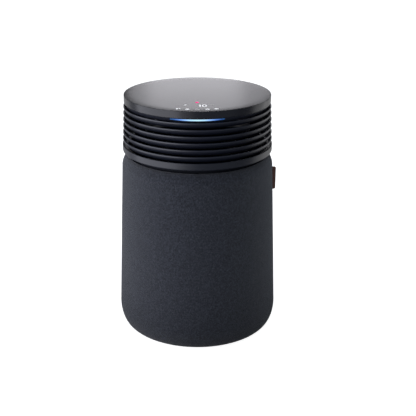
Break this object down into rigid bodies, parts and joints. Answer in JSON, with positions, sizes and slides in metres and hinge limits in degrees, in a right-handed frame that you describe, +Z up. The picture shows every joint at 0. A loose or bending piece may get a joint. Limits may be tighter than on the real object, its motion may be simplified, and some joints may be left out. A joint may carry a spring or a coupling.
{
  "type": "air purifier",
  "caption": "Round fabric-covered air purifier with a lift-off head: ring louvres, flat touch-control top, a cylindrical filter inside and a side pull tab.",
  "frame": {"origin": "on the floor under the centre of the base, level with the underside of the feet", "axes": "+Z up along the round body's axis; the front, with the light bar and the touch icons, faces -Y; the leather tab is on the +X side and the mains inlet on the +Y side"},
  "size_m": [0.33, 0.33, 0.4939],
  "materials": {
    "knit_fabric": "matte heathered charcoal knit",
    "brown_leather": "smooth, with darker cut edges",
    "gloss_black": "satin to gloss",
    "satin_black": "satin",
    "inner_plastic": "matte moulded",
    "grey_plastic": "matte moulded",
    "rubber": "matte",
    "steel": "brushed",
    "brass": "plain",
    "circuit_board": "solder mask",
    "filter_paper": "matte pleated fibre",
    "carbon": "matte",
    "lit_plastic": "lit from inside"
  },
  "bodies": {
    "base": {"base_pan": "inner_plastic", "filter_seat": "inner_plastic", "intake_cage": "inner_plastic", "neck_ring": "satin_black", "fabric_sleeve": "knit_fabric", "leather_tab": "brown_leather", "power_inlet": "satin_black", "inlet_pin_1": "brass", "inlet_pin_2": "brass", "power_board": "circuit_board", "supply_lead": "rubber", "contact_socket": "satin_black", "reed_switch": "grey_plastic", "foot_1": "rubber", "foot_2": "rubber", "foot_3": "rubber", "foot_4": "rubber", "base_screw_1": "steel", "base_screw_2": "steel", "base_screw_3": "steel"},
    "filter": {"filter_bottom_cap": "grey_plastic", "filter_top_cap": "grey_plastic", "filter_media": "filter_paper", "carbon_core": "carbon", "filter_seal": "rubber", "pull_strap": "knit_fabric"},
    "head": {"fan_housing": "inner_plastic", "inlet_guard": "inner_plastic", "motor_bracket": "inner_plastic", "motor": "steel", "motor_damper_1": "rubber", "motor_damper_2": "rubber", "motor_damper_3": "rubber", "air_deflector": "inner_plastic", "grille_collar": "satin_black", "louvre_1": "satin_black", "louvre_2": "satin_black", "louvre_3": "satin_black", "louvre_4": "satin_black", "louvre_5": "satin_black", "louvre_6": "satin_black", "grille_post_1": "inner_plastic", "grille_post_2": "inner_plastic", "grille_post_3": "inner_plastic", "grille_post_4": "inner_plastic", "lid_tray": "satin_black", "light_guide": "lit_plastic", "light_board": "circuit_board", "display_board": "circuit_board", "particle_sensor": "grey_plastic", "top_plate": "gloss_black", "contact_plug": "satin_black", "head_magnet": "steel", "housing_screw_1": "steel", "housing_screw_2": "steel", "housing_screw_3": "steel", "housing_screw_4": "steel"},
    "fan": {"impeller": "grey_plastic", "motor_shaft": "steel", "impeller_nut": "brass"}
  },
  "joints": [
    {"name": "head_lift", "type": "slide", "parent": "base", "child": "head", "axis": [0, 0, 1], "range_m": [0, 0.6]},
    {"name": "filter_lift", "type": "slide", "parent": "base", "child": "filter", "axis": [0, 0, 1], "range_m": [0, 0.35]},
    {"name": "fan_spin", "type": "hinge", "parent": "head", "child": "fan", "pos_m": [0, 0, 0.35], "axis": [0, 0, 1], "continuous": true}
  ],
  "couplings": [
    {"joint": "filter_lift", "follows": "head_lift", "ratio": 0.58}
  ]
}
